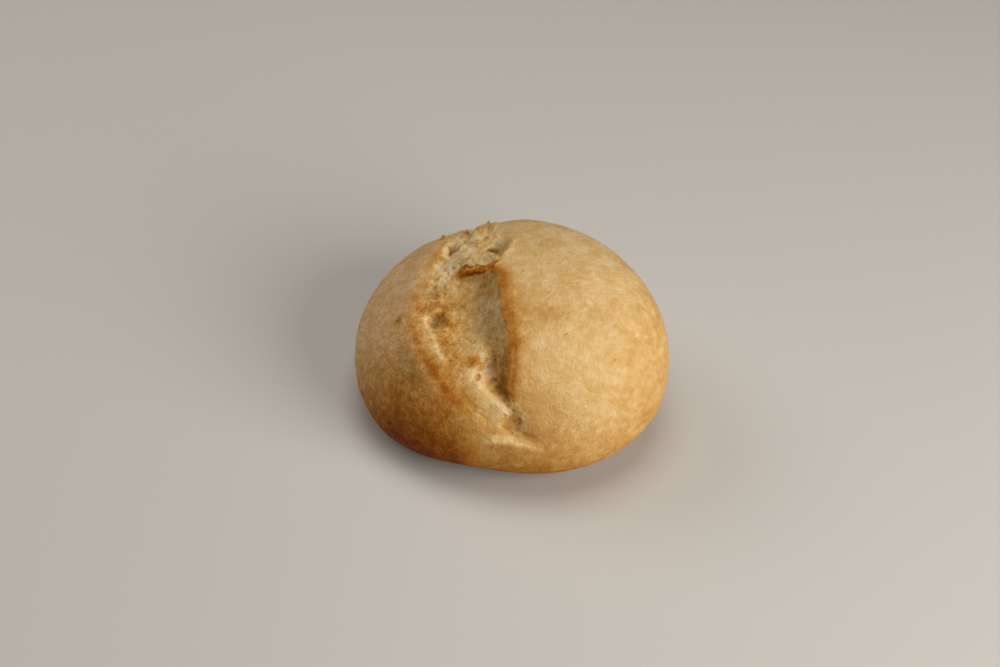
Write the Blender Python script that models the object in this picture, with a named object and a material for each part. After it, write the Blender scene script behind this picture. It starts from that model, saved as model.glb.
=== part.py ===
"""A round white bread roll, slashed once across the top and baked until the slash tore open.

Metres, +Z up. The roll stands on its flat heel with the middle of its box over the origin. The slash runs
from the front (-Y) over the top to the back, left of the middle, so +X is the side of the larger lobe.
"""

import math

import bmesh
import bpy
from mathutils import Vector, noise

# The roll before it was slashed.
HALF_WIDTH = 0.0445
HALF_DEPTH = 0.0431
WAIST_HEIGHT = 0.0176
CROWN_HEIGHT = 0.0523
CROWN_FULLNESS = 0.8725
HEEL_FULLNESS = 0.80
HEEL_DROP = 1.276
HEEL_ROUNDING = 0.0015
CROWN_RISE_TO_RIGHT = 0.164
LEAN_TO_RIGHT = 0.113
LEAN_TO_BACK = 0.030
# Bulges of the outline: how many go round, their height as a share of the radius, and the bearing of one.
BULGES = ((2, 0.067, -30), (3, 0.032, -29), (4, 0.010, 44), (5, 0.004, 4), (6, 0.006, -16))

# The slash is set out by two measures: x, across it, and its turn, an angle about an axis along X at this
# height, which is 0 at the front, 90 over the top and 180 at the back.
TURN_AXIS_HEIGHT = 0.015
LEFT_LIP = ((8, 0.0010), (16, -0.0075), (26, -0.0152), (38, -0.0224), (52, -0.0272), (66, -0.0292),
            (80, -0.0287), (101, -0.0254), (127, -0.0203), (152, -0.0140))
RIGHT_LIP = ((8, 0.0090), (18, 0.0056), (29, 0.0008), (45, 0.0003), (56, 0.0), (66, -0.0019),
             (80, -0.0028), (92, -0.0040), (109, -0.0006), (126, -0.0024), (152, -0.0057))
# How deep the pocket's floor lies at the foot of its right wall, how wide that wall is, and the share of the
# slash's width at which the floor starts to fall away from the ledge, by turn.
POCKET_DEPTH = ((12, 0.0005), (24, 0.0018), (30, 0.0036), (36, 0.0050), (60, 0.0055), (75, 0.0057), (92, 0.0044))
WALL_WIDTH = ((12, 0.0022), (34, 0.0026), (44, 0.0036), (56, 0.0056), (70, 0.0068), (92, 0.0070))
BRINK_SHARE = ((12, 0.50), (30, 0.50), (40, 0.46), (50, 0.14), (92, 0.06))
BRINK_LENGTH = 0.45
WALL_STEEPNESS = 1.5
LIP_ROUNDING = 0.0016
LIP_FADE = 0.0040
POCKET_FRONT = (22, 34)
POCKET_BACK = (90, 93)
LEDGE_DEPTH = 0.0008
LEDGE_WIDTH = 0.0036
TORN_DEPTH = 0.0015
TORN_SHOULDER = 0.0030
TORN_BACK = (136, 152)
FRONT_TAIL = (10, 20)
TAIL_DEPTH = 0.0010
BUMP_HEIGHT = 0.0012
BUMP_LENGTH = 0.0060
RIGHT_LIP_RISE = 0.0007
RIGHT_LIP_REACH = 0.0050
LEFT_LIP_RISE = 0.0004
LEFT_LIP_REACH = 0.0030

# The strip of baked skin that crosses the slash behind the pocket.
STRIP_TURN = 93.2
STRIP_HALF_TURN = 2.6
STRIP_ENDS = ((-0.0170, -0.0130), (-0.0040, -0.0010))
STRIP_HEIGHT = 0.0009

# Burst bubbles: turn, x, half length across, half length along, depth.
BUBBLES = ((67.4, -0.0204, 0.0028, 0.0040, 0.0016), (120.5, -0.0164, 0.0022, 0.0034, 0.0016),
           (108, -0.0028, 0.0029, 0.0046, 0.0014))

# The fold of dough stretched below the front end of the slash.
FOLD = ((10.5, -0.0090), (12.9, -0.0028), (10.9, 0.0050), (7.2, 0.0120))
FOLD_HEIGHT = 0.0008
FOLD_HALF_WIDTH = 0.0024

# Mesh fineness.
CUBE_CUTS = 15
FINE_ROUNDS = 2
FINE_MARGIN = 0.0030
FINE_BACK_TURN = 154
FINE_FRONT_TURN = 6
LIP_SNAP = 0.0006

CRUST_COLOUR = (0.60, 0.385, 0.190, 1)
CRUST_ROUGHNESS = 0.78


def clear_scene():
    for old in list(bpy.data.objects):
        bpy.data.objects.remove(old, do_unlink=True)


def ease(value, start, end):
    """0 at start, 1 at end, with a smooth way between them."""
    share = min(1.0, max(0.0, (value - start) / (end - start)))
    return share * share * (3 - 2 * share)


def curve_x(points, turn):
    """The x of a smooth curve through these (turn, x) points."""
    if turn <= points[0][0]:
        return points[0][1]
    for index in range(len(points) - 1):
        if turn <= points[index + 1][0]:
            before = points[max(index - 1, 0)]
            start = points[index]
            end = points[index + 1]
            after = points[min(index + 2, len(points) - 1)]
            span = end[0] - start[0]
            slope_in = (end[1] - before[1]) / (end[0] - before[0]) * span
            slope_out = (after[1] - start[1]) / (after[0] - start[0]) * span
            t = (turn - start[0]) / span
            rise = end[1] - start[1]
            bend = (3 * rise - 2 * slope_in - slope_out) * t * t
            return start[1] + slope_in * t + bend + (slope_in + slope_out - 2 * rise) * t ** 3
    return points[-1][1]


def body_point(direction):
    """The point of the unslashed roll in this direction from the middle of its waist."""
    rise = math.sqrt(1 - min(1.0, direction.z ** 2))
    bearing = math.atan2(direction.y, direction.x)
    outline = 1.0
    for count, height, peak in BULGES:
        outline += height * math.cos(count * (bearing - math.radians(peak)))
    fullness = CROWN_FULLNESS if direction.z >= 0 else HEEL_FULLNESS
    reach = outline * rise ** fullness
    x = HALF_WIDTH * reach * math.cos(bearing)
    y = HALF_DEPTH * reach * math.sin(bearing)
    if direction.z >= 0:
        crown = (CROWN_HEIGHT - WAIST_HEIGHT) * direction.z ** CROWN_FULLNESS
        z = WAIST_HEIGHT + crown * (1 + CROWN_RISE_TO_RIGHT * x / HALF_WIDTH)
    else:
        z = WAIST_HEIGHT * (1 + HEEL_DROP * direction.z)
    if z <= -HEEL_ROUNDING:
        z = 0.0
    elif z < HEEL_ROUNDING:
        z = (z + HEEL_ROUNDING) ** 2 / (4 * HEEL_ROUNDING)
    return (
        x + LEAN_TO_RIGHT * (z - WAIST_HEIGHT),
        y + LEAN_TO_BACK * (z - WAIST_HEIGHT),
        z,
    )


def rounded_cube(cuts):
    """A cube swollen into a ball, with all of its squares about the same size."""
    mesh = bmesh.new()
    bmesh.ops.create_cube(mesh, size=2)
    bmesh.ops.subdivide_edges(mesh, edges=mesh.edges[:], cuts=cuts, use_grid_fill=True)
    for vert in mesh.verts:
        for axis in range(3):
            vert.co[axis] = math.tan(vert.co[axis] * math.pi / 4)
        vert.co.normalize()
    return mesh


def shape_body(mesh):
    """Gives the ball the roll's shape, with the middle of its box over the origin."""
    for vert in mesh.verts:
        vert.co = body_point(vert.co)
    for axis in (0, 1):
        places = [vert.co[axis] for vert in mesh.verts]
        middle = (min(places) + max(places)) / 2
        for vert in mesh.verts:
            vert.co[axis] -= middle


def turn_of(point):
    return math.degrees(math.atan2(point.z - TURN_AXIS_HEIGHT, -point.y))


def near_slash(face):
    point = face.calc_center_median()
    turn = turn_of(point)
    if not FINE_FRONT_TURN < turn < FINE_BACK_TURN:
        return False
    left = curve_x(LEFT_LIP, turn) - FINE_MARGIN
    right = curve_x(RIGHT_LIP, turn) + FINE_MARGIN
    return left < point.x < right


def refine_slash(mesh):
    """Cuts the squares about the slash into smaller ones."""
    for _ in range(FINE_ROUNDS):
        faces = [face for face in mesh.faces if near_slash(face)]
        edges = list({edge for face in faces for edge in face.edges})
        bmesh.ops.subdivide_edges(mesh, edges=edges, cuts=1, use_grid_fill=True)
    bmesh.ops.triangulate(mesh, faces=mesh.faces[:])


def line_up_with_right_lip(mesh):
    """Slides the points next to the sharp lip along the surface onto it, so that edges run along it."""
    mesh.normal_update()
    for vert in mesh.verts:
        turn = turn_of(vert.co)
        slide = curve_x(RIGHT_LIP, turn) - vert.co.x
        if abs(slide) < LIP_SNAP and POCKET_FRONT[0] < turn < POCKET_BACK[1]:
            angle = math.radians(turn)
            outward = Vector((0, -math.cos(angle), math.sin(angle)))
            vert.co.x += slide
            vert.co -= outward * (slide * vert.normal.x / vert.normal.dot(outward))


def strip_share(x, turn):
    """1 on the strip of skin across the slash, 0 away from it."""
    left_end, right_end = STRIP_ENDS
    along = ease(x, *left_end) * (1 - ease(x, *right_end))
    across = 1 - ease(abs(turn - STRIP_TURN), 0, STRIP_HALF_TURN)
    return along * across


def fold_share(x, turn):
    """1 along the stretched fold below the slash, falling to 0 beside it."""
    turns = [(place, angle) for angle, place in FOLD]
    if not turns[0][0] < x < turns[-1][0]:
        return 0.0
    ends = ease(x, turns[0][0], turns[1][0]) * (1 - ease(x, turns[2][0], turns[3][0]))
    beside = math.radians(turn - curve_x(turns, x)) * HALF_DEPTH
    return ends * math.exp(-((beside / FOLD_HALF_WIDTH) ** 2))


def bubble_depth(x, turn):
    depth = 0.0
    for middle, place, half_across, half_along, deepest in BUBBLES:
        across = (x - place) / half_across
        along = math.radians(turn - middle) * HALF_DEPTH / half_along
        depth += deepest * (1 - ease(math.hypot(across, along), 0.3, 1.0))
    return depth


def slash_depth(x, turn):
    """How far the surface lies below that of the unslashed roll."""
    left = curve_x(LEFT_LIP, turn)
    right = curve_x(RIGHT_LIP, turn)
    from_left = x - left
    from_right = right - x
    ends = ease(turn, *FRONT_TAIL) * (1 - ease(turn, *TORN_BACK))
    rise = RIGHT_LIP_RISE * math.exp(-((from_right / RIGHT_LIP_REACH) ** 2))
    rise += LEFT_LIP_RISE * math.exp(-((from_left / LEFT_LIP_REACH) ** 2))
    if from_left <= 0 or from_right <= 0:
        return -rise * ends
    share = from_left / (right - left)
    in_pocket = 1 - ease(turn, *POCKET_BACK)
    ledge = LEDGE_DEPTH * ease(from_left, 0, LEDGE_WIDTH)
    brink = curve_x(BRINK_SHARE, turn)
    slope = (curve_x(POCKET_DEPTH, turn) - LEDGE_DEPTH) * ease(share, brink, brink + BRINK_LENGTH)
    past_lip = from_right - LIP_ROUNDING * (1 - math.exp(-from_right / LIP_ROUNDING))
    up_the_wall = 1 - min(1.0, past_lip / curve_x(WALL_WIDTH, turn))
    wall = 1 - up_the_wall ** WALL_STEEPNESS
    pocket = (ledge + slope) * wall
    shoulders = ease(from_left, 0, TORN_SHOULDER) * ease(from_right, 0, TORN_SHOULDER)
    place = Vector((x, math.radians(turn) * HALF_DEPTH, 0)) / BUMP_LENGTH
    torn = (TORN_DEPTH + BUMP_HEIGHT * noise.noise(place)) * shoulders
    tail = TAIL_DEPTH * shoulders * (1 - ease(turn, *POCKET_FRONT))
    depth = in_pocket * max(pocket, tail) + (1 - in_pocket) * torn
    depth -= STRIP_HEIGHT * strip_share(x, turn)
    return (depth + bubble_depth(x, turn)) * ends - rise * ends * (1 - ease(from_right, 0, LIP_FADE))


def carve_slash(mesh):
    """Moves the surface in towards the slash's axis, and out at its lips and folds."""
    for vert in mesh.verts:
        turn = turn_of(vert.co)
        if not FINE_FRONT_TURN < turn < FINE_BACK_TURN:
            continue
        depth = slash_depth(vert.co.x, turn) - FOLD_HEIGHT * fold_share(vert.co.x, turn)
        angle = math.radians(turn)
        vert.co.y += depth * math.cos(angle)
        vert.co.z -= depth * math.sin(angle)


def flatten_heel(mesh):
    """Joins the level squares underneath into the one flat face that the roll rests on."""
    level = [face for face in mesh.faces if all(vert.co.z < 1e-7 for vert in face.verts)]
    bmesh.ops.dissolve_faces(mesh, faces=level, use_verts=True)


def crust_material():
    material = bpy.data.materials.new("baked crust")
    material.use_nodes = True
    shader = material.node_tree.nodes["Principled BSDF"]
    shader.inputs["Base Color"].default_value = CRUST_COLOUR
    shader.inputs["Metallic"].default_value = 0
    shader.inputs["Roughness"].default_value = CRUST_ROUGHNESS
    return material


def make_roll():
    mesh = rounded_cube(CUBE_CUTS)
    shape_body(mesh)
    refine_slash(mesh)
    line_up_with_right_lip(mesh)
    carve_slash(mesh)
    flatten_heel(mesh)
    bmesh.ops.triangulate(mesh, faces=mesh.faces[:])
    bmesh.ops.recalc_face_normals(mesh, faces=mesh.faces[:])
    data = bpy.data.meshes.new("roll")
    mesh.to_mesh(data)
    mesh.free()
    data.shade_smooth()
    data.materials.append(crust_material())
    roll = bpy.data.objects.new("roll", data)
    bpy.context.scene.collection.objects.link(roll)
    return roll


clear_scene()
make_roll()
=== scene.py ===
"""The looks of a slashed white bread roll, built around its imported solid.

Metres, +Z up, in the solid's own frame. Most sizes are given in millimetres at the roll's drawn width and
multiplied by MM, which is worked out from the frame.
"""

import math

import bpy
import numpy as np
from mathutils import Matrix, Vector, noise


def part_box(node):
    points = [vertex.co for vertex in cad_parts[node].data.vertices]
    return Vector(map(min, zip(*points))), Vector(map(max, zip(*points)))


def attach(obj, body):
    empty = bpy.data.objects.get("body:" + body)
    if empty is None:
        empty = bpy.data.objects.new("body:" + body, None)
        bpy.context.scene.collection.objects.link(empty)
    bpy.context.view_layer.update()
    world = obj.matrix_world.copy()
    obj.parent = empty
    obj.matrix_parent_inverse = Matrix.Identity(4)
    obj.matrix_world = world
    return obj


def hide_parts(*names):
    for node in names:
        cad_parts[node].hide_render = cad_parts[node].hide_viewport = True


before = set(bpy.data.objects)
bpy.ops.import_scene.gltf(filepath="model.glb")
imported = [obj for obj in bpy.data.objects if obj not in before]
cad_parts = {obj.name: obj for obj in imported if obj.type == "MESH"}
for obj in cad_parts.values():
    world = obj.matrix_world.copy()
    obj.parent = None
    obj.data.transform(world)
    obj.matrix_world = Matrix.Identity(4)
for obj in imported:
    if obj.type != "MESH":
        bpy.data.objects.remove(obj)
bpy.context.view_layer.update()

LOW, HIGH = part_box("roll")
DRAWN_WIDTH = 92.57
MM = (HIGH.x - LOW.x) / DRAWN_WIDTH

# ---------------------------------------------------------------------------------------------------------
# Sizes, in millimetres and degrees
# ---------------------------------------------------------------------------------------------------------

# The roll before it was slashed, as in the solid.
HALF_WIDTH = 44.5
HALF_DEPTH = 43.1
WAIST_HEIGHT = 17.6
CROWN_HEIGHT = 52.3
CROWN_FULLNESS = 0.8725
HEEL_FULLNESS = 0.80
HEEL_DROP = 1.276
HEEL_ROUNDING = 1.5
CROWN_RISE_TO_RIGHT = 0.164
LEAN_TO_RIGHT = 0.113
LEAN_TO_BACK = 0.030
# Bulges of the outline: how many go round, their height as a share of the radius, and the bearing of one.
BULGES = ((2, 0.067, -30), (3, 0.032, -29), (4, 0.010, 44), (5, 0.004, 4), (6, 0.006, -16))

# The slash is set out by x, across it, and by its turn, an angle about an axis along X at this height, which
# is 0 at the front, 90 over the top and 180 at the back.
TURN_AXIS_HEIGHT = 15.0
TURN_RADIUS = 40.0
LEFT_LIP = ((8, 1.0), (16, -7.5), (26, -15.2), (38, -22.4), (52, -27.2), (66, -29.2), (80, -28.7), (101, -25.4),
            (127, -20.3), (150, -14.5), (168, -10.0))
LEDGE = ((8, 5.0), (16, -3.0), (26, -3.6), (31, -8.6), (37, -13.1), (42, -17.3), (46, -18.7), (51, -20.3),
         (57, -21.6), (62, -22.8), (69, -23.6), (78, -23.2), (107, -21.6), (127, -17.6), (168, -9.0))
LEFT_CREST = ((8, -9.0), (16, -13.5), (26, -18.6), (38, -24.6), (52, -28.8), (66, -30.4), (80, -30.0), (101, -27.0),
              (127, -22.0), (150, -16.5), (168, -11.5))
RIGHT_LIP = ((8, 9.0), (18, 5.6), (24, 3.6), (29, 0.8), (34, -0.4), (45, 0.3), (56, 0.0), (66, -1.9),
             (78, -2.6), (84, -3.1), (92, -4.4), (98, -1.2), (109, -0.6), (126, -2.4), (150, -5.5), (168, -7.5))

# Mesh fineness.
CUBE_CUTS = 89
SLASH_CUTS = 2
FINE_MARGIN = 2.2
FINE_TURNS = (4, 166)


# ---------------------------------------------------------------------------------------------------------
# Small helpers
# ---------------------------------------------------------------------------------------------------------

def ease(value, start, end):
    """0 at start, 1 at end, with a smooth way between them."""
    share = np.clip((value - start) / (end - start), 0.0, 1.0)
    return share * share * (3 - 2 * share)


def hump(value, middle, reach):
    """1 at the middle, falling smoothly to nothing a little beyond the reach."""
    return np.exp(-(((value - middle) / reach) ** 2))


def curve_x(points, turn):
    """The x of a smooth curve through these (turn, x) points, at each turn."""
    places = np.array(points, float)
    slopes = np.gradient(places[:, 1], places[:, 0])
    index = np.clip(np.searchsorted(places[:, 0], turn) - 1, 0, len(points) - 2)
    span = places[index + 1, 0] - places[index, 0]
    t = np.clip((turn - places[index, 0]) / span, 0.0, 1.0)
    start, end = places[index, 1], places[index + 1, 1]
    slope_in, slope_out = slopes[index] * span, slopes[index + 1] * span
    rise = end - start
    return start + slope_in * t + (3 * rise - 2 * slope_in - slope_out) * t ** 2 + (
        slope_in + slope_out - 2 * rise) * t ** 3


def clouds(places, size, octaves=1, seed=0.0):
    """Smooth noise, about -1 to 1, whose lumps are about this many millimetres across."""
    shift = Vector((seed * 17.3, seed * 5.7, seed * 11.9))
    return np.array([noise.fractal(Vector(place) / size + shift, 0.8, 2.1, octaves) for place in places])


def get_places(mesh):
    places = np.empty(len(mesh.vertices) * 3)
    mesh.vertices.foreach_get("co", places)
    return places.reshape(-1, 3)


def set_places(mesh, places):
    mesh.vertices.foreach_set("co", places.astype(np.float32).ravel())
    mesh.update()


def get_normals(mesh):
    normals = np.empty(len(mesh.vertices) * 3, np.float32)
    mesh.vertex_normals.foreach_get("vector", normals)
    return normals.reshape(-1, 3).astype(float)


def keep_on_points(mesh, name, values):
    """Stores one number for each point, for the materials to read."""
    layer = mesh.attributes.new(name, "FLOAT", "POINT")
    layer.data.foreach_set("value", np.clip(values, 0, 1).astype(np.float32))


def start_edit(piece, select_all):
    bpy.ops.object.select_all(action="DESELECT")
    piece.select_set(True)
    bpy.context.view_layer.objects.active = piece
    bpy.ops.object.mode_set(mode="EDIT")
    bpy.ops.mesh.select_mode(type="FACE")
    bpy.ops.mesh.select_all(action="SELECT" if select_all else "DESELECT")


def end_edit():
    bpy.ops.object.mode_set(mode="OBJECT")


# ---------------------------------------------------------------------------------------------------------
# The roll's body
# ---------------------------------------------------------------------------------------------------------

def body_places(directions):
    """Where the unslashed roll's surface lies in each direction from the middle of its waist."""
    up = directions[:, 2]
    rise = np.sqrt(np.clip(1 - up ** 2, 0, 1))
    bearing = np.arctan2(directions[:, 1], directions[:, 0])
    outline = 1.0
    for count, height, peak in BULGES:
        outline = outline + height * np.cos(count * (bearing - math.radians(peak)))
    reach = outline * rise ** np.where(up >= 0, CROWN_FULLNESS, HEEL_FULLNESS)
    x = HALF_WIDTH * reach * np.cos(bearing)
    y = HALF_DEPTH * reach * np.sin(bearing)
    crown = (CROWN_HEIGHT - WAIST_HEIGHT) * np.abs(up) ** CROWN_FULLNESS
    above = WAIST_HEIGHT + crown * (1 + CROWN_RISE_TO_RIGHT * x / HALF_WIDTH)
    below = WAIST_HEIGHT * (1 + HEEL_DROP * up)
    z = np.where(up >= 0, above, below)
    rounded = (z + HEEL_ROUNDING) ** 2 / (4 * HEEL_ROUNDING)
    z = np.where(z <= -HEEL_ROUNDING, 0, np.where(z < HEEL_ROUNDING, rounded, z))
    x = x + LEAN_TO_RIGHT * (z - WAIST_HEIGHT)
    y = y + LEAN_TO_BACK * (z - WAIST_HEIGHT)
    return np.stack([x, y, z], axis=1)


def centred(places, middle):
    return places - np.array([middle[0], middle[1], 0])


def make_ball():
    """A cube cut into small squares and swollen into a ball, with all the squares about one size."""
    bpy.ops.object.select_all(action="DESELECT")
    bpy.ops.mesh.primitive_cube_add(size=2, location=(0, 0, 0))
    ball = bpy.context.active_object
    ball.name = "roll_surface"
    start_edit(ball, select_all=True)
    bpy.ops.mesh.subdivide(number_cuts=CUBE_CUTS)
    end_edit()
    places = np.tan(get_places(ball.data) * math.pi / 4)
    set_places(ball.data, places / np.linalg.norm(places, axis=1)[:, None])
    return ball


def turn_of(places):
    return np.degrees(np.arctan2(places[:, 2] - TURN_AXIS_HEIGHT, -places[:, 1]))


def near_slash(places):
    turn = turn_of(places)
    across = (places[:, 0] > curve_x(LEFT_LIP, turn) - FINE_MARGIN) & (
        places[:, 0] < curve_x(RIGHT_LIP, turn) + FINE_MARGIN)
    return across & (turn > FINE_TURNS[0]) & (turn < FINE_TURNS[1])


def refine_slash(ball, middle):
    """Cuts the squares where the slash will be into finer ones."""
    mesh = ball.data
    start_edit(ball, select_all=False)
    end_edit()
    centres = np.empty(len(mesh.polygons) * 3)
    mesh.polygons.foreach_get("center", centres)
    centres = centres.reshape(-1, 3)
    centres /= np.linalg.norm(centres, axis=1)[:, None]
    chosen = near_slash(centred(body_places(centres), middle))
    mesh.polygons.foreach_set("select", chosen)
    mesh.update()
    bpy.ops.object.mode_set(mode="EDIT")
    bpy.ops.mesh.subdivide(number_cuts=SLASH_CUTS)
    end_edit()
    places = get_places(mesh)
    set_places(mesh, places / np.linalg.norm(places, axis=1)[:, None])


# ---------------------------------------------------------------------------------------------------------
# The slash
# ---------------------------------------------------------------------------------------------------------

# How deep the torn floor lies below the old surface, by turn: at the pocket's right wall, and just past the
# brink of its front half.
SLOPE_DEPTH = ((12, 0.1), (24, 0.3), (30, 1.0), (36, 2.2), (46, 4.0), (60, 5.3), (75, 5.6), (86, 5.0), (92, 4.0))
BRINK_DEPTH = ((14, 0.0), (18, 0.6), (24, 0.7), (28, 1.3), (31, 2.4), (36, 3.2), (41, 2.6), (46, 1.2), (52, 0.2), (58, 0))
# The brink itself: the edge where the pale ledge drops into the front half of the pocket.
BRINK = ((8, 3.0), (14, 1.0), (17, -2.2), (20, -2.4), (24, -1.6), (27.3, -3.2), (29.5, -5.1), (32.3, -7.3),
         (36.3, -9.0), (40.3, -9.8), (44, -8.8), (52, -8.0))
WALL_WIDTH = ((12, 2.5), (28, 2.5), (34, 3.0), (44, 4.4), (56, 7.6), (70, 9.4), (92, 9.8))
# The right lip turns over gently for this far before the wall falls away.
SHOULDER = ((8, 1.0), (28, 1.2), (36, 3.0), (54, 2.8), (62, 1.4), (74, 0.9), (92, 0.8))
WALL_STEEPNESS = ((8, 1.3), (60, 1.3), (70, 1.7), (92, 1.7))
POCKET_TURNS = (27, 32)
ROLLED_TURNS = (46, 60)
STRIP_TURN = 93.8
STRIP_STEP = (-17.0, -12.0)
BACK_WALL = 2.4
BACK_WALL_SPREAD = 1.6

# Burst bubbles: turn, x, half length across, half length along, depth, height of the rim, lean. A bubble
# that leans is deepest and steepest on its left.
BUBBLES = (
    (67.0, -20.4, 3.1, 4.8, 1.7, 0.15, 0.1), (120.5, -16.4, 2.2, 3.4, 1.8, 0.30, 0.2),
    (108.0, -2.8, 2.9, 4.8, 1.5, 0.50, 0.2), (107.4, -4.6, 1.6, 2.4, 1.2, 0.0, 0), (99.5, -14.2, 0.8, 0.6, 0.9, 0.10, 0), (99.0, -18.0, 0.6, 0.6, 0.6, 0.1, 0),
    (94.5, -19.8, 0.5, 0.5, 0.5, 0.1, 0), (91.0, -18.9, 0.8, 1.1, 0.8, 0.10, 0), (86.0, -18.6, 0.5, 0.6, 0.5, 0.1, 0),
    (83.5, -21.4, 1.5, 1.8, 0.7, 0.2, 0), (78.0, -22.8, 0.8, 1.0, 0.5, 0.1, 0), (89.5, -22.0, 0.9, 1.2, 0.5, 0.1, 0),
    (60.9, -1.6, 0.6, 0.9, 0.5, 0.0, 0), (53.9, -3.7, 0.7, 1.0, 0.5, 0.0, 0), (96.5, -21.5, 1.0, 1.3, 0.6, 0.2, 0), (79.2, -6.6, 0.5, 0.5, 0.5, 0.0, 0),
    (66.5, -2.4, 0.5, 0.6, 0.5, 0.0, 0), (37.4, -9.0, 0.9, 1.1, 1.0, 0.20, 0.2), (35.3, -4.6, 1.2, 1.2, 0.4, 0.20, 0),
    (29.1, 0.6, 0.6, 0.6, 0.4, 0.0, 0), (24.9, 1.0, 0.8, 0.6, 0.4, 0.05, 0.3), (20.9, 2.4, 0.6, 1.5, 0.35, 0.0, 0),
    (18.4, -0.4, 3.6, 2.8, 0.55, 0.0, 0), (22.6, -1.6, 0.7, 0.6, 0.3, 0.0, 0), (26.4, -1.0, 0.6, 0.5, 0.3, 0.0, 0),
    (121.0, -10.4, 1.8, 2.6, 1.3, 0.0, 0), (117.0, -8.2, 1.2, 0.9, 0.7, 0.1, 0), (126.0, -16.0, 1.6, 1.3, 0.8, 0.10, 0),
    (118.5, -18.8, 1.0, 1.0, 0.6, 0.1, 0), (108.5, -9.0, 1.3, 0.8, 0.5, 0.1, 0), (96.5, -11.5, 0.7, 0.4, 0.4, 0.0, 0))
# A shallow dent in the crust left of the slash.
DENT = (68.8, -31.9, 0.9, 1.9, 0.4)
# Torn tips that stand up behind the strip: turn, x, half width, height.
TIPS = ((134.3, -19.9, 1.5, 1.4), (131.0, -13.8, 1.5, 1.2), (132.6, -12.7, 1.0, 2.4), (133.0, -8.6, 1.2, 0.8),
        (134.5, -6.3, 0.9, 2.1), (130.0, -4.6, 1.1, 1.3), (136.0, -8.6, 3.4, 2.1), (136.0, -5.6, 3.0, 1.1),
        (132.0, -21.6, 1.4, 0.7), (136.0, -13.4, 1.8, 1.0), (127.5, -8.8, 0.9, 0.9), (118.0, -6.0, 0.9, 0.7),
        (123.0, -12.6, 1.0, 0.9), (110.0, -13.5, 1.2, 0.7), (100.5, -9.6, 1.3, 0.8), (108.5, -8.2, 1.3, 0.8),
        (96.8, -8.4, 0.8, 0.5), (104.0, -19.8, 0.9, 0.4), (114.5, -11.6, 0.8, 0.5), (12.4, -5.2, 2.6, 0.5), (11.8, 0.8, 2.0, 0.3))
# Patches that caught the heat, and at turn 108 painted shade in the crater's deep pit: turn, x, half width, strength.
SCORCHES_AND_PIT_SHADE = (
    (77.4, -22.6, 2.4, 0.16), (79.6, -21.0, 1.2, 0.40), (74.6, -24.6, 1.6, 0.40), (64.2, -16.4, 1.4, 0.62),
    (62.0, -16.8, 2.0, 0.20), (67.0, -20.4, 2.6, 0.20), (54.0, -17.8, 1.6, 0.22), (44.2, -9.4, 2.0, 0.55),
    (45.0, -11.0, 1.6, 0.25), (44.0, -16.0, 2.6, 0.20), (59.0, -13.0, 2.4, 0.12), (20.9, 2.4, 0.9, 0.5),
    (54.5, -19.6, 1.6, 0.20), (41.0, -12.5, 2.0, 0.15), (85.0, -23.0, 1.4, 0.12), (105.0, 1.5, 2.6, 0.05),
    (64.4, 8.5, 3.0, 0.06), (84.0, -6.5, 2.4, 0.12), (108.0, -4.8, 1.5, 1.20), (101.5, -2.5, 1.6, 0.20), (120.5, -16.6, 1.8, 0.5), (101.0, -10.2, 1.8, 0.2), (80.0, -4.5, 3.0, -0.12),
    (20.0, 0.4, 3.6, 0.18), (27.5, -12.0, 2.4, 0.22), (24.5, -9.0, 1.8, 0.2), (37.4, -9.0, 0.8, 0.3),
    (131.0, -12.5, 1.6, 0.30), (132.0, -6.0, 1.6, 0.30), (134.0, -20.0, 1.6, 0.3), (114.0, -20.5, 2.0, 0.18),
    (116.0, -17.4, 1.0, 0.2), (107.0, -21.4, 1.8, 0.08), (31.0, -1.0, 1.3, 0.25), (22.0, 0.8, 1.3, 0.30),
    (69.6, -32.4, 1.5, 0.50),
    (65.8, 11.5, 1.0, 0.16), (75.9, 6.5, 1.0, 0.16), (74.5, 10.8, 0.5, 0.35), (55.0, 15.3, 0.45, 0.40),
    (59.6, 29.4, 0.45, 0.35), (66.5, -1.8, 1.0, 0.2))
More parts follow.
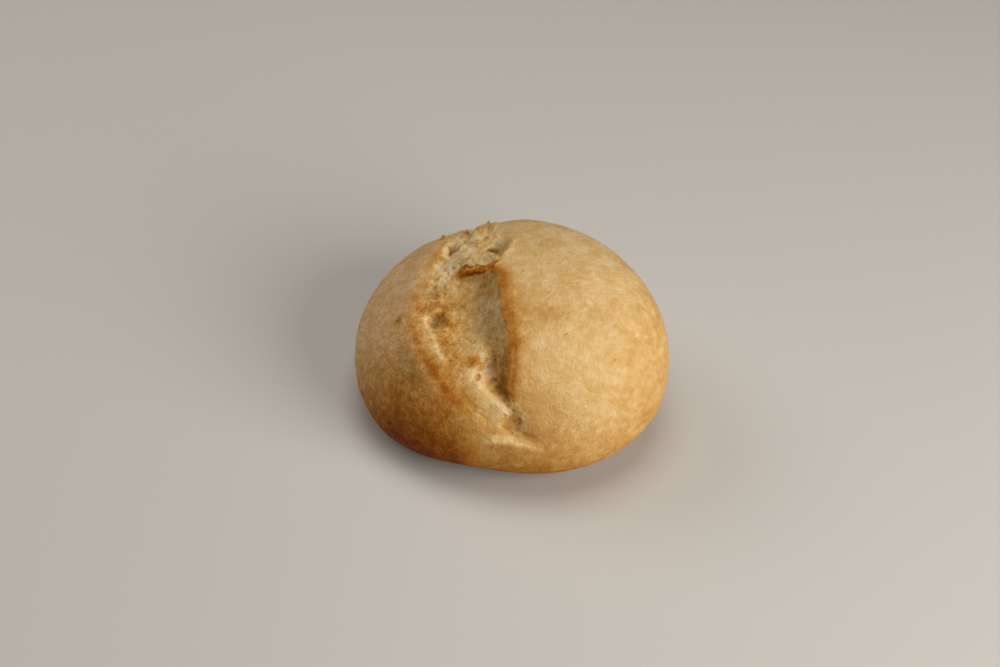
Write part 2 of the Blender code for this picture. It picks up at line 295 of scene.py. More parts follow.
# Patches of painted shade, and with a minus painted light, in and by the slash; the small ones on the right lobe's
# crust are its own pale and dull specks: turn, x, reach in degrees and in x, strength.
PAINTED_LIGHT_SHADE_AND_SPECKS = (
    (22.0, -0.4, 5.0, 3.0, -0.16), (66.0, -26.6, 12.0, 1.4, -0.14), (67.4, -20.6, 3.4, 2.2, 0.14), (66.0, -23.9, 5.0, 0.7, -0.30), (74.4, -20.6, 1.2, 2.0, -0.18), (57.0, -20.6, 7.0, 0.8, -0.12), (62.0, -17.0, 8.0, 3.4, -0.16), (57.0, -24.6, 10.0, 1.6, -0.10),
    (116.0, -8.2, 12.0, 2.6, -0.36), (120.0, -19.2, 12.0, 1.6, -0.30), (102.0, -13.4, 6.0, 2.4, 0.22),
    (128.0, -11.6, 8.0, 1.1, 0.22), (130.0, -8.0, 5.0, 2.2, -0.22), (123.0, -13.8, 7.0, 1.4, -0.18), (88.0, -21.6, 5.0, 1.8, 0.20), (30.0, 1.6, 6.0, 2.0, 0.04),
    (96.0, -9.0, 2.5, 3.0, -0.20), (98.0, -19.0, 6.0, 2.2, -0.08), (37.0, -6.6, 7.0, 2.0, -0.20), (46.5, -16.5, 5.0, 2.6, -0.14), (44.2, -9.4, 2.8, 1.8, -0.20), (64.2, -16.4, 2.2, 1.4, -0.16), (79.0, -21.4, 2.0, 1.6, -0.12),
    (40.0, -29.0, 13.0, 4.5, 0.17), (16.0, -26.0, 7.0, 4.0, 0.13), (13.5, 4.0, 4.0, 3.2, 0.17),
    (21.0, 4.8, 6.0, 2.4, 0.12), (108.5, -2.0, 6.0, 1.8, 0.12),
    (101.2, 27.6, 0.9, 0.8, -0.22), (56.9, 35.7, 0.8, 0.7, -0.20), (80.1, 18.7, 0.6, 1.2, -0.20),
    (78.6, 20.6, 0.6, 1.0, -0.18), (77.5, 39.5, 1.6, 0.4, -0.25), (73.0, 40.7, 2.0, 0.4, -0.25),
    (76.4, 38.0, 1.2, 0.4, 0.16), (105.3, 12.1, 7.0, 6.0, 0.08), (2.1, 11.1, 0.9, 0.9, -0.25))
# How far the crust is browned, by turn: on the left lobe towards its front, on the right lobe, and how much more
# along the left lip. The deepest browning, low on the left front, is partly painted shade of that shadowed side.
BROWN_BEARING = -132
LEFT_BROWNING = ((-30, 1.60), (-9, 1.45), (0, 1.26), (6, 1.10), (12, 0.88), (18, 0.73), (26, 0.58), (34, 0.44), (42, 0.30),
                 (50, 0.21), (60, 0.13), (78, 0.06), (100, 0.06), (125, 0.14), (150, 0.30), (180, 0.6))
RIGHT_BROWNING = ((-30, 0.75), (-9, 0.60), (0, 0.45), (6, 0.36), (14, 0.32), (20, 0.25), (30, 0.20), (40, 0.15), (56, 0.15),
                  (64, 0.22), (74, 0.20), (84, 0.14), (96, 0.07), (106, 0.07), (116, 0.10), (128, 0.19), (150, 0.30), (180, 0.5))
LEFT_LIP_BROWNING = ((8, 0.0), (16, 0.08), (26, 0.14), (34, 0.24), (42, 0.34), (50, 0.32), (64, 0.28), (78, 0.28),
                     (88, 0.18), (100, 0.14), (120, 0.14), (150, 0.0))
# How far right of the left lip the crumb begins, by turn.
CRUMB_EDGE = ((8, 1.8), (30, 2.4), (46, 3.6), (56, 4.4), (74, 4.1), (90, 3.4), (110, 2.6), (127, 2.2), (168, 1.8))
# The stretched fold below the front end of the slash, as (x, turn) points along its crest.
FOLD = ((-9, 10.0), (-6.6, 11.6), (-2.8, 12.9), (2.0, 12.0), (5.0, 10.9), (8.0, 9.4), (12, 7.2), (16, 5.0))
FOLD_HEIGHT = 0.95


def distance_along(turn_difference):
    return np.radians(turn_difference) * TURN_RADIUS


class Slash:
    """Where each point stands in the slash, and how it moves when the slash tears open."""

    def __init__(self, places):
        self.places = places
        self.x = places[:, 0]
        self.turn = turn_of(places)
        along = distance_along(self.turn)
        none = np.zeros_like(along)
        line = np.stack([along, none, none], axis=1)
        self.left = curve_x(LEFT_LIP, self.turn) + 0.6 * clouds(line, 3.2, 4, 1)
        self.right = curve_x(RIGHT_LIP, self.turn) + 0.25 * clouds(line, 3.0, 2, 2)
        self.ledge = np.maximum(curve_x(LEDGE, self.turn) + 0.6 * clouds(line, 3.4, 3, 3), self.left + 1.2)
        self.brink = curve_x(BRINK, self.turn) + 0.5 * clouds(line, 2.2, 3, 4)
        self.from_left = self.x - self.left
        self.from_right = self.right - self.x
        self.ends = ease(self.turn, 13, 19) * (1 - ease(self.turn, 148, 166))
        self.inside = (self.from_left > 0) & (self.from_right > 0)
        self.patch = np.stack([self.x, along, none], axis=1)
        strip = STRIP_TURN - 0.30 * (self.x + 9) - 0.4 * np.sin(self.x * 0.55) + 0.8 * clouds(self.patch * (1, 0, 0), 4.0, 3, 4)
        self.behind_strip = distance_along(self.turn - strip)
        self.step = ease(self.x, *STRIP_STEP)
        self.rolled = 1 - ease(self.turn, *ROLLED_TURNS)

    def wall(self):
        """How far down the right wall each point is: 0 at the lip, 1 from the wall's foot onwards."""
        shoulder = curve_x(SHOULDER, self.turn)
        below = self.from_right - 0.6 * shoulder
        share = np.clip(below / (curve_x(WALL_WIDTH, self.turn) - 0.6 * shoulder), 0, 1)
        return 0.12 * ease(self.from_right, 0, shoulder) + 0.88 * (1 - (1 - share) ** curve_x(WALL_STEEPNESS, self.turn))

    def lip_rise(self):
        """How far the dough stands up along the lips. The front half of the right lip is rolled over."""
        out_right = np.clip(-self.from_right, 0, None)
        swell = 0.5 * ease(self.turn, 26, 40) * (1 - ease(self.turn, 88, 100))
        right = swell * np.exp(-((out_right / 5.5) ** 2))
        right -= 0.35 * self.rolled * ease(self.turn, 30, 38) * hump(out_right, 0.8, 0.8)
        right *= 1 - ease(self.from_right, 0, 4)
        from_crest = self.x - curve_x(LEFT_CREST, self.turn)
        inner = np.maximum(self.left + 3.5 - curve_x(LEFT_CREST, self.turn), 3)
        left = (0.35 + 0.6 * ease(self.turn, 26, 48)) * np.exp(-((np.minimum(from_crest, 0) / 3.2) ** 2)) * (1 - ease(from_crest / inner, 0, 1))
        return right + left * ease(self.turn, 2, 12) * (1 - ease(self.turn, 118, 150))

    def bubbles(self):
        depth = np.zeros_like(self.x)
        for turn, x, half_across, half_along, deepest, rim, lean in BUBBLES:
            shift = self.x - (x - lean * half_across * 0.7)
            reach = np.where(shift < 0, half_across * (1 - 0.7 * lean), half_across * (1 + 0.7 * lean))
            off = np.hypot(shift / reach, distance_along(self.turn - turn) / half_along)
            near = off < 2.5
            off[near] += 0.10 * clouds(self.patch[near], 1.7, 2, x)
            depth += deepest * (1 - ease(off, 0.45, 1.0)) - rim * np.exp(-(((off - 1.15) / 0.25) ** 2))
        return depth

    def dent(self):
        turn, x, half_across, half_along, deepest = DENT
        off = np.hypot((self.x - x) / half_across, distance_along(self.turn - turn) / half_along)
        return deepest * (1 - ease(off, 0.1, 1.2))

    def tips(self):
        height = np.zeros_like(self.x)
        for turn, x, half_width, tip in TIPS:
            off = np.hypot(self.x - x, distance_along(self.turn - turn)) / half_width
            height += tip * np.clip(1 - off, 0, 1) ** 1.3
        return height

    def fold(self):
        """The raised fold in front, steep above its crest and soft below, and the smaller fold on its left."""
        beside = distance_along(self.turn - curve_x(FOLD, self.x)) + 0.35 * clouds(self.patch, 2.6, 2, 8)
        length = ease(self.x, -10, -4) * (1 - ease(self.x, 0, 9))
        above = 1 - ease(beside, 0.0, 2.4)
        below = np.exp(-((np.minimum(beside + 0.4, 0) / 3.6) ** 2))
        small = distance_along(self.turn - 22.4 + 1.1 * (self.x + 9.8))
        second = 0.2 * hump(small, 0, 0.7) * ease(self.x, -12.5, -10.5) * (1 - ease(self.x, -8.8, -7))
        swell = 0.9 * hump(self.x, -12.5, 6.5) * hump(self.turn, 8, 9)
        crease = 0.35 * hump(beside, 2.6, 0.9) * ease(self.x, -8, -5) * (1 - ease(self.x, 5, 10))
        return FOLD_HEIGHT * above * below * length + second + swell - crease

    def floor(self):
        """Depth of the torn floor, from the left lip to the foot of the right wall."""
        lip_fall = 0.6 * ease(self.from_left, 0.8, 5.0)
        grooved = ease(self.turn, 40, 46) * (1 - ease(self.turn, 62, 76))
        past_ledge = self.x - self.ledge
        groove = 0.50 * grooved * np.exp(-((past_ledge - 0.6) / np.where(past_ledge < 0.6, 0.6, 2.4)) ** 2)
        past_brink = self.x - self.brink
        share = np.clip((past_brink + 0.8) / np.maximum(0.85 * (self.right - self.brink), 3.2), 0, 1)
        brink = curve_x(BRINK_DEPTH, self.turn) * (1 - (1 - share) ** 1.6)
        shallow_end = 1 - ease(past_brink, 1, 7) * (1 - ease(self.turn, 26, 31))
        share = np.clip(self.from_left / np.maximum(self.right - self.left, 1), 0, 1)
        slope = curve_x(SLOPE_DEPTH, self.turn) * ease(share, 0.08, 0.62)
        beyond_brink = 0.25 + 0.75 * ease(past_brink, -1, 5)
        lower = 1 - ease(self.turn, 42, 56)
        slope = slope * (1 - lower + lower * beyond_brink)
        return lip_fall + groove + brink * shallow_end + slope

    def torn(self):
        """Depth of the rough crumb behind the strip."""
        within = ease(self.from_left, 0.5, 3.5)
        depth = (0.4 + 0.9 * ease(self.from_left, 1, 6)) * within * ease(self.from_right, -0.2, 5)
        lumps = clouds(self.patch * (1, 0.6, 1), 4.2, 3, 5) * within * ease(self.from_right, 0, 3)
        strip_end = 1 - ease(self.x, -4, 1)
        return depth + 1.1 * lumps - 0.35 * hump(self.behind_strip, 1.6, 1.8) * self.step * strip_end

    def tear(self):
        """How deep each point sinks, and how far it slides forward below the strip."""
        fall = self.wall()
        floor = self.floor()
        torn = self.torn()
        in_front = self.behind_strip < 0
        back_share = np.clip(-self.behind_strip / (BACK_WALL + BACK_WALL_SPREAD), 0, 1)
        drop = np.sin(back_share * math.pi / 2)
        at_strip = torn + (floor * fall - torn) * drop
        blend = ease(self.behind_strip, -5, 4)
        soft = (floor * (1 - blend) + torn * blend) * fall
        depth = np.where(in_front, at_strip, torn) * self.step + soft * (1 - self.step)
        walled = ease(self.turn, *POCKET_TURNS)
        gentle = floor * ease(self.from_right, -0.5, 4.5)
        depth = np.where(in_front, depth * walled + gentle * (1 - walled), depth)
        new_back = BACK_WALL * (1 - np.cos(back_share * math.pi / 2)) - 0.5 * np.sin(back_share * math.pi)
        past = np.clip((-self.behind_strip - BACK_WALL - BACK_WALL_SPREAD) / 8, 0, 1)
        slide = np.where(back_share < 1, -new_back - self.behind_strip, BACK_WALL_SPREAD * (1 - past))
        slide *= in_front * self.step * fall
        return np.where(self.inside, depth, 0), np.where(self.inside, slide, 0)

    def back_dip(self):
        """The whole top is a little lower round the back end of the slash."""
        return 1.2 * hump(self.turn, 138, 26) * ease(self.x, -28, -18) * (1 - ease(self.x, -4, 6))

    def opened(self):
        """The places of the points once the slash has torn open."""
        depth, slide = self.tear()
        depth = (depth - self.lip_rise()) * self.ends
        depth += self.bubbles() + self.dent() - self.tips() - self.fold() + self.back_dip()
        angle = np.radians(self.turn)
        none = np.zeros_like(angle)
        outward = np.stack([none, -np.cos(angle), np.sin(angle)], axis=1)
        backward = np.stack([none, np.sin(angle), np.cos(angle)], axis=1)
        return self.places - outward * depth[:, None] + backward * (slide * self.ends)[:, None]

    def crumb_share(self):
        """1 where the crumb shows, 0 on crust."""
        ragged = self.from_left - curve_x(CRUMB_EDGE, self.turn) + 0.9 * clouds(self.patch, 1.8, 3, 12)
        left_edge = ease(ragged, -0.3, 0.7)
        crisp = ease(self.from_right, 0.0, 0.7) * (1 - self.rolled) + ease(self.from_right, 0.0, 2.6) * self.rolled
        soft = ease(self.from_right, -0.5, 3.5)
        behind = ease(self.turn, 92, 97)
        front = 1 - ease(self.turn, 27, 33)
        right_edge = crisp * (1 - behind) + soft * behind
        right_edge = right_edge * (1 - front) + ease(self.from_right, -1.5, 3.0) * front
        skin = (1 - ease(self.turn, 34, 46)) * (1 - ease(self.x - self.brink, -3.5, -0.8))
        return left_edge * right_edge * (1 - 0.65 * skin) * ease(self.turn, 14, 24) * (1 - ease(self.turn, 145, 162))

    def browning(self, bearing):
        """How far each point is browned, as a depth: a depth of 1 leaves a third of the red light. Low on the left
        front and near the base it is partly painted shade, and in the crater's pit it is painted shade.
        """
        # Browned most on the left front: partly real browning, partly painted shade of that shadowed side.
        left_front = np.where(bearing < BROWN_BEARING, 24, 42)
        left_front = hump(bearing, BROWN_BEARING, left_front) * (1 - 0.8 * ease(self.x, -17, -7))
        front = hump(bearing, -82, 46)
        right_lobe = 0.12 * (1 - front) + curve_x(RIGHT_BROWNING, self.turn) * front
        crust = right_lobe + (curve_x(LEFT_BROWNING, self.turn) - right_lobe) * left_front
        # Browner towards the base: partly real browning, partly painted shade low down by the floor.
        crust += 0.4 * (1 - ease(self.places[:, 2], 0, 8))
        crust += 0.10 * ease(self.x, 18, 42) * (1 - ease(self.places[:, 2], 40, 50))
        crust -= 0.09 * hump(bearing, -52, 15) * hump(self.places[:, 2], 28, 14)
        crust -= 0.09 * (1 - ease(self.x, -30, -22)) * hump(self.turn, 76, 20)
        flicker = 1 + 0.35 * clouds(self.patch, 4.5, 3, 6)
        out_right = -self.from_right
        length = ease(self.turn, 27, 33) * (1 - ease(self.turn, 86, 96))
        rolled = 0.45 * hump(out_right, -0.2, 2.4) * self.rolled
        crisp = 0.40 * hump(out_right, 0.8, 2.2) * ease(out_right, -1.6, 0.0) * (1 - self.rolled)
        right_lip = (rolled + crisp) * length + 0.08 * np.exp(-((np.maximum(out_right, 0) / 7) ** 2)) * length
        left_lip = curve_x(LEFT_LIP_BROWNING, self.turn) * hump(self.from_left, 1.8, 1.8)
        far_side = 0.5 + 2.7 * ease(self.x, -17, -11)
        strip = ease(self.behind_strip, -2.2, -0.8) * (1 - ease(self.behind_strip, far_side - 0.7, far_side + 0.9))
        strip *= ease(self.x, -17.8, -11.5) * (1 - 0.35 * ease(self.x, -9, -5)) * ease(self.from_right, -0.4, 0.8)
        strip *= 1.0 + 0.5 * clouds(self.patch * (0.3, 2.4, 1), 2.2, 3, 15)
        under = 0.18 * hump(self.turn, 88, 5) * ease(self.x, -11, -7) * (1 - ease(self.x, -2, 1))
        crumb = self.crumb_share()
        lit_crumb = 0.10 - 0.05 * ease(self.behind_strip, 2, 5) + 0.13 * (1 - ease(self.x, -17, -9)) * (1 - ease(self.turn, 70, 95))
        lit_crumb += 0.14 * (1 - ease(self.turn, 28, 40))
        lit_crumb += 0.20 * clouds(self.patch * (1, 0.6, 1), 2.4, 3, 14) * ease(self.behind_strip, 1, 4)
        depth = crust * (1 - crumb) + lit_crumb * crumb + (right_lip + left_lip) * flicker + 0.88 * strip + under
        # Scorched patches, and painted shade in the crater's pit.
        for turn, x, half_width, strength in SCORCHES_AND_PIT_SHADE:
            off = np.hypot(self.x - x, distance_along(self.turn - turn)) / half_width
            depth += strength * np.exp(-off ** 2) * (0.8 + 0.6 * clouds(self.patch, 1.6, 2, x))
        return depth + 0.35 * np.clip(self.tips(), 0, 1) * ease(self.turn, 110, 128)

    def pale_share(self):
        """Where stretched dough stayed pale: the ledge by the left lip, the brink and the fold in front."""
        blotches = 0.85 + 0.5 * clouds(self.patch, 2.4, 3, 9)
        ledge = hump(self.x - self.ledge, -0.7, 0.9) * ease(self.turn, 40, 45) * (1 - ease(self.turn, 68, 74))
        past_brink = self.x - self.brink
        brink = ease(past_brink, -4.4, -1.2) * (1 - ease(past_brink, 0.4, 2.4))
        brink *= ease(self.turn, 15, 21) * (1 - ease(self.turn, 38, 46))
        beside = distance_along(self.turn - curve_x(FOLD, self.x))
        fold = ease(beside, -2.6, -0.6) * (1 - ease(beside, 1.0, 2.0))
        fold *= ease(self.x, -10, -5.5) * (1 - ease(self.x, 2, 10))
        return np.clip((0.9 * ledge + 0.7 * brink + 0.9 * fold) * blotches, 0, 1)

    def shade(self):
        """Painted shade inside the burst bubbles, in the crevice by the right wall and down in the pocket, painted
        light on the strip and on the fold's crest, and the listed patches of painted light and shade and specks.
        """
        # Painted shade in the burst bubbles, the crevice by the right wall and the pocket.
        depth = np.clip(self.bubbles(), 0, 2) / 7 * ease(self.turn, 30, 38)
        crevice = hump(self.from_right, 1.3, 1.4) * ease(self.turn, 28, 33) * (1 - ease(self.turn, 42, 54))
        pocket = 0.24 * ease(self.x, -14, -6) * ease(self.from_right, -1, 3) * (1 - ease(self.behind_strip, -3, -1))
        # Painted light on the strip's face, and a painted highlight along the fold's crest.
        lit_strip = 0.38 * hump(self.behind_strip, 0.5, 1.5) * ease(self.x, -16, -13) * (1 - ease(self.x, -6, -2))
        crest = distance_along(self.turn - curve_x(FOLD, self.x))
        crest = 0.30 * hump(crest, -0.2, 0.8) * ease(self.x, -9, -6) * (1 - ease(self.x, 6, 12))
        darker = np.clip(depth, 0, 0.5) + 0.42 * crevice + pocket * ease(self.turn, 46, 60) - lit_strip - crest
        for turn, x, half_along, half_across, strength in PAINTED_LIGHT_SHADE_AND_SPECKS:
            darker += strength * hump(self.turn, turn, half_along) * hump(self.x, x, half_across)
        return darker

    def roughness(self):
        """How rough the torn dough is: smoother on the pocket's floor, roughest behind the strip."""
        pocket = ease(self.x, -18, -13) * ease(self.turn, 40, 52)
        ledge = 1 - ease(self.turn, 44, 60)
        smooth = np.maximum(0.6 * pocket, 0.5 * ledge) * (1 - ease(self.behind_strip, -1, 1))
        return 1.1 - smooth + 0.9 * ease(self.behind_strip, 0, 3)


def make_roll():
    """The whole roll as one closed surface, with its finish shares and its painted light and shade stored on its
    points.
    """
    roll = make_ball()
    mesh = roll.data
    rough = body_places(get_places(mesh))
    middle = (rough.max(axis=0) + rough.min(axis=0)) / 2
    refine_slash(roll, middle)
    body = centred(body_places(get_places(mesh)), middle)
    swell = 0.22 * clouds(body, 17.0, 2, 21) + 0.08 * clouds(body, 6.0, 2, 22)
    outward = body - np.array([0, 0, WAIST_HEIGHT])
    outward /= np.linalg.norm(outward, axis=1)[:, None]
    swell *= ease(body[:, 2], 1.5, 9)
    slash = Slash(body)
    crumb = slash.crumb_share()
    pale = slash.pale_share()
    shade = slash.shade()
    bearing = np.degrees(np.arctan2(body[:, 1], body[:, 0]))
    browning = slash.browning(bearing)
    opened = slash.opened() + outward * swell[:, None]
    set_places(mesh, opened * MM)
    normals = get_normals(mesh)
    torn = np.flatnonzero(crumb > 0.02)
    relief = np.zeros(len(opened))
    coarse = 0.28 * clouds(opened[torn], 2.6, 3, 31) + 0.10 * clouds(opened[torn], 0.9, 2, 32)
    lumpy = np.maximum(crumb, 0.7 * slash.rolled * hump(slash.from_right, 1.0, 2.2) * ease(slash.turn, 26, 34))
    relief[torn] = lumpy[torn] * slash.roughness()[torn] * coarse
    skin = np.flatnonzero(crumb < 0.98)
    relief[skin] += (1 - crumb[skin]) * 0.035 * clouds(opened[skin], 2.2, 2, 33)
    relief *= ease(opened[:, 2], 0.3, 3.0)
    opened += normals * relief[:, None]
    opened[:, 2] = np.maximum(opened[:, 2], 0)
    set_places(mesh, opened * MM)
    keep_on_points(mesh, "crumb", crumb)
    keep_on_points(mesh, "browning", browning / DEEPEST_BROWNING)
    keep_on_points(mesh, "pale", pale)
    # The painted light and shade is stored raised by LIGHTEST, so painted light stays above 0.
    keep_on_points(mesh, "shade", shade + LIGHTEST)
    mesh.shade_smooth()
    roll.name = "roll_surface"
    mesh.name = "roll_surface"
    return roll


# ---------------------------------------------------------------------------------------------------------
# Finishes
# ---------------------------------------------------------------------------------------------------------

class Wire:
    """One value in a shader. Reckoning with it adds Math nodes."""

    def __init__(self, finish, socket):
        self.finish = finish
        self.socket = socket

    def maths(self, operation, first, second):
        return self.finish.add("ShaderNodeMath", {"operation": operation}, {0: first, 1: second})

    def __add__(self, other):
        return self.maths("ADD", self, other)

    def __radd__(self, other):
        return self.maths("ADD", other, self)

    def __sub__(self, other):
        return self.maths("SUBTRACT", self, other)

    def __rsub__(self, other):
        return self.maths("SUBTRACT", other, self)

    def __mul__(self, other):
        return self.maths("MULTIPLY", self, other)

    def __rmul__(self, other):
        return self.maths("MULTIPLY", other, self)

    def __pow__(self, other):
        return self.maths("POWER", self, other)


class Finish:
    """A material's nodes, added one at a time to its Principled shader."""

    def __init__(self, name):
        self.material = bpy.data.materials.new(name)
        self.material.use_nodes = True
        self.tree = self.material.node_tree
        self.shader = self.tree.nodes["Principled BSDF"]

    def feed(self, socket, value):
        if isinstance(value, Wire):
            self.tree.links.new(value.socket, socket)
        else:
            socket.default_value = value

    def add(self, kind, settings, values, output=0):
        """Adds a node: its settings first, then the values or links of its sockets."""
        node = self.tree.nodes.new(kind)
        for name, setting in settings.items():
            if name == "stops":
                ramp = node.color_ramp
                while len(ramp.elements) < len(setting):
                    ramp.elements.new(0.5)
                for element, (place, colour) in zip(ramp.elements, setting):
                    element.position = place
                    element.color = colour
            else:
                setattr(node, name, setting)
        for name, value in values.items():
            self.feed(node.inputs[name], value)
        return Wire(self, node.outputs[output])

    def places(self):
        """The piece's own coordinates, in millimetres at its drawn width."""
        coordinates = self.add("ShaderNodeTexCoord", {}, {}, "Object")
        scale = (1 / MM, 1 / MM, 1 / MM)
        return self.add("ShaderNodeVectorMath", {"operation": "MULTIPLY"}, {0: coordinates, 1: scale})

    def kept(self, name):
        """A number stored on the piece's points."""
        return self.add("ShaderNodeAttribute", {"attribute_name": name}, {}, "Fac")

    def noise(self, places, size, detail=2.0, roughness=0.5, distortion=0.0):
        values = {"Vector": places, "Scale": 1 / size, "Detail": detail, "Roughness": roughness,
                  "Distortion": distortion}
        return self.add("ShaderNodeTexNoise", {}, values, "Fac")

    def between(self, value, low, high, start=0.0, end=1.0):
        """Maps value from low..high to start..end, smoothly and clamped."""
        values = {"Value": value, "From Min": low, "From Max": high, "To Min": start, "To Max": end}
        return self.add("ShaderNodeMapRange", {"interpolation_type": "SMOOTHSTEP"}, values)

    def mix(self, share, first, second, blend="MIX"):
        """A colour between two colours."""
        settings = {"data_type": "RGBA", "blend_type": blend, "clamp_factor": True}
        return self.add("ShaderNodeMix", settings, {0: share, 6: first, 7: second}, 2)

    def grains(self, places, size, share_kept, radius):
        """Round spots, one in each cell of this size, in only a share of the cells."""
        settings = {"feature": "F1", "distance": "EUCLIDEAN"}
        values = {"Vector": places, "Scale": 1 / size, "Randomness": 1.0}
        cell = self.add("ShaderNodeTexVoronoi", settings, values, "Color")
        distance = Wire(self, cell.socket.node.outputs["Distance"])
        chance = self.add("ShaderNodeSeparateColor", {}, {"Color": cell}, "Red")
        chosen = self.add("ShaderNodeMath", {"operation": "LESS_THAN"}, {0: chance, 1: share_kept})
        return self.between(distance, radius / size, 0.3 * radius / size) * chosen


# The colour of the dough where nothing browned it, of the torn crumb, and of what a browning depth of 1 leaves.
DEEPEST_BROWNING = 2.2
# How far painted light may lift the colour; the stored painted light and shade is raised by this much.
LIGHTEST = 0.4
CRUST = (0.84, 0.60, 0.31, 1)
PINK_CRUST = (0.88, 0.57, 0.31, 1)
CRUMB = (0.88, 0.65, 0.35, 1)
PALE_CRUMB = (0.93, 0.72, 0.43, 1)
BROWNED = (0.368, 0.145, 0.020)


# The streaks in the torn crumb: their own length and their spacing, as directions over the size of one.
STREAK_WAYS = ((0.20, 0.20, 0.14), (-1.25, 0.75, 0.60))


def roll_finish():
    finish = Finish("crust")
    places = finish.places()
    crumb = finish.kept("crumb")
    pale = finish.kept("pale")
    shade = finish.kept("shade")
    across = finish.add("ShaderNodeSeparateXYZ", {}, {"Vector": places}, "X")

    broad = finish.noise(places, 14, 3, 0.55) - 0.5
    patches = finish.noise(places, 5.0, 3, 0.55, 0.15) - 0.5
    mottle = finish.noise(places, 1.9, 3, 0.6) - 0.5
    grain = finish.noise(places, 0.42, 2, 0.7) - 0.5
    left_lobe = finish.between(across, -10, -30)
    streak_places = [finish.add("ShaderNodeVectorMath", {"operation": "DOT_PRODUCT"}, {0: places, 1: way}, "Value")
                     for way in STREAK_WAYS]
    stretched = finish.add("ShaderNodeCombineXYZ", {}, {"X": streak_places[0], "Y": streak_places[1]})
    streaks = finish.noise(stretched, 1.0, 2, 0.6) - 0.5
    holes = finish.grains(places, 2.1, 0.25, 0.55)
    kept = finish.kept("browning") * DEEPEST_BROWNING
    flecks = finish.grains(places, 5.2, 0.35, 1.1)
    pinholes = finish.grains(places, 3.6, 0.20, 0.27)
    flour = finish.grains(places, 3.1, 0.12, 0.36)
    soft_patches = (broad * 0.5 + patches * 1.0) * (0.28 + kept * 0.5 + crumb * 0.3)
    fine = mottle + grain * 1.2 + streaks * crumb * 0.3 + holes * crumb * 0.4
    browning = kept + soft_patches + fine * (0.24 + kept * 0.8 + crumb * 0.35 + left_lobe * 0.3)
    browning = browning * (1 - pale * 0.75) + (pinholes * 0.5 - flecks * 0.08 - flour * 0.14) * (1 - crumb)
    browning = finish.add("ShaderNodeMath", {"operation": "MAXIMUM"}, {0: browning, 1: 0.0})

    crust = finish.mix(left_lobe * (1 - kept), CRUST, PINK_CRUST)
    colour = finish.mix(crumb, crust, CRUMB)
    colour = finish.mix(pale * 0.7, colour, PALE_CRUMB)
    left = finish.add("ShaderNodeVectorMath", {"operation": "POWER"}, {0: BROWNED, 1: browning})
    colour = finish.add("ShaderNodeVectorMath", {"operation": "MULTIPLY"}, {0: colour, 1: left})
    # Painted light and shade scales the colour, with the grain's own lighter and darker specks.
    lit = (1 + LIGHTEST - shade) * (1 + grain * 0.6 + grain * left_lobe * 0.3)
    colour = finish.add("ShaderNodeVectorMath", {"operation": "SCALE"}, {0: colour, "Scale": lit})
    finish.feed(finish.shader.inputs["Base Color"], colour)

    rough_spots = finish.noise(places, 2.0, 2, 0.5)
    roughness = finish.between(rough_spots, 0.3, 0.7, 0.56, 0.70)
    finish.feed(finish.shader.inputs["Roughness"], roughness + crumb * 0.18)

    skin_grain = finish.noise(places, 0.9, 3, 0.7)
    skin = skin_grain * (1.35 + left_lobe * 1.7) - pinholes * 0.8
    crumb_grain = finish.noise(places, 0.8, 4, 0.7) * 1.9 + streaks * 0.5 - holes * 0.35
    relief = skin * (1 - crumb) + crumb_grain * crumb
    bump = {"Strength": 1.0, "Distance": 0.35 * MM, "Height": relief}
    finish.feed(finish.shader.inputs["Normal"], finish.add("ShaderNodeBump", {}, bump))

    finish.shader.inputs["Metallic"].default_value = 0.0
    finish.shader.inputs["Specular IOR Level"].default_value = 0.06
    finish.shader.inputs["Subsurface Weight"].default_value = 0.12
    finish.shader.inputs["Subsurface Radius"].default_value = (1.0, 0.45, 0.2)
    finish.shader.inputs["Subsurface Scale"].default_value = 1.2 * MM
    return finish.material


# ---------------------------------------------------------------------------------------------------------
# Floor, lights and camera
# ---------------------------------------------------------------------------------------------------------

LENS = 60.84
SENSOR = 36.0
CAMERA_TILT = 45
CAMERA_PLACE = (-2.87, -352.93, 378.41)
FLOOR_SIZE = 3.0
FLOOR_COLOUR = (0.62, 0.58, 0.52, 1)


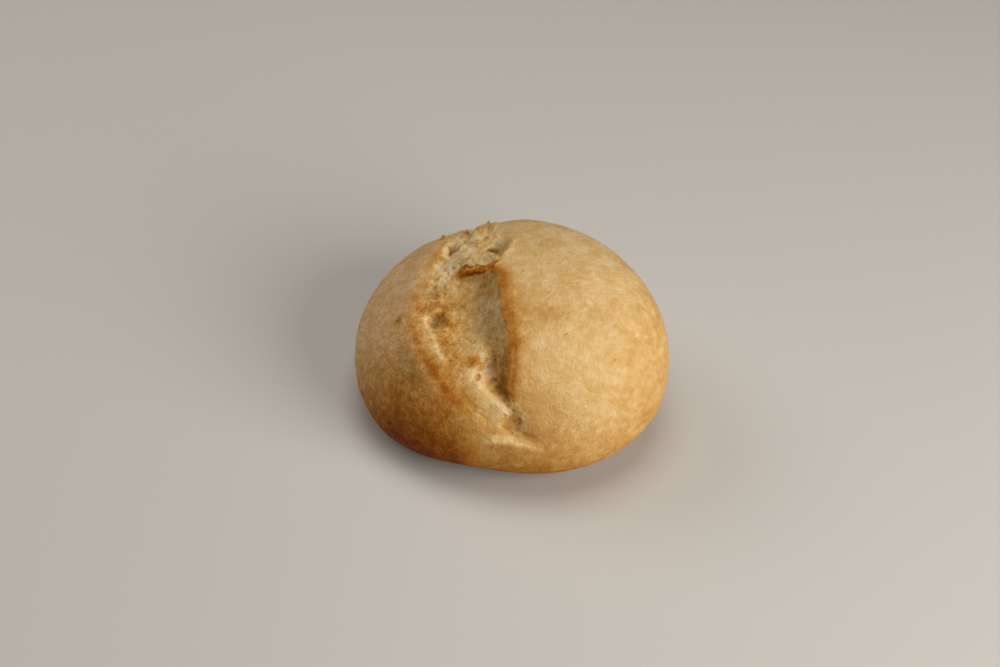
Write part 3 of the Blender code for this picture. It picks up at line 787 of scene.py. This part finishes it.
def make_floor():
    bpy.ops.object.select_all(action="DESELECT")
    bpy.ops.mesh.primitive_plane_add(size=FLOOR_SIZE, location=(0, 0, 0))
    floor = bpy.context.active_object
    floor.name = "floor"
    finish = Finish("floor")
    finish.shader.inputs["Base Color"].default_value = FLOOR_COLOUR
    finish.shader.inputs["Roughness"].default_value = 0.8
    floor.data.materials.append(finish.material)
    return floor


def make_light(name, direction, distance, size, power, colour):
    """A round soft light at this distance from the roll, in this direction, facing it."""
    light = bpy.data.lights.new(name, "AREA")
    light.shape = "DISK"
    light.size = size
    light.energy = power
    light.color = colour
    lamp = bpy.data.objects.new(name, light)
    towards = Vector(direction).normalized()
    lamp.location = Vector((0, 0, 25 * MM)) + towards * distance
    lamp.rotation_euler = towards.to_track_quat("Z", "Y").to_euler()
    bpy.context.scene.collection.objects.link(lamp)
    return lamp


def make_camera():
    camera = bpy.data.cameras.new("camera")
    camera.lens = LENS
    camera.sensor_width = SENSOR
    holder = bpy.data.objects.new("camera", camera)
    holder.location = [place * MM for place in CAMERA_PLACE]
    holder.rotation_euler = (math.radians(CAMERA_TILT), 0, 0)
    bpy.context.scene.collection.objects.link(holder)
    bpy.context.scene.camera = holder


def make_world(colour, strength):
    world = bpy.data.worlds.new("studio")
    world.use_nodes = True
    background = world.node_tree.nodes["Background"]
    background.inputs["Color"].default_value = colour
    background.inputs["Strength"].default_value = strength
    bpy.context.scene.world = world


roll = make_roll()
roll.data.materials.clear()
roll.data.materials.append(roll_finish())
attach(roll, "root")
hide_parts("roll")

floor = make_floor()
make_light("key", (0.69, -0.56, 0.41), 0.75, 0.60, 5.4, (1.0, 1.0, 1.0))
make_light("overhead", (0.0, 0.05, 1.0), 0.75, 0.45, 2.0, (1.0, 1.0, 1.0))
make_light("fill", (-0.58, 0.32, 0.65), 0.75, 0.45, 1.25, (1.0, 1.0, 1.0))
make_light("left", (-1.0, -0.25, 0.22), 0.75, 0.45, 0.25, (1.0, 1.0, 1.0))
make_world((1.0, 1.0, 1.0, 1), 0.0)
make_camera()
bpy.context.scene.view_settings.view_transform = "Standard"
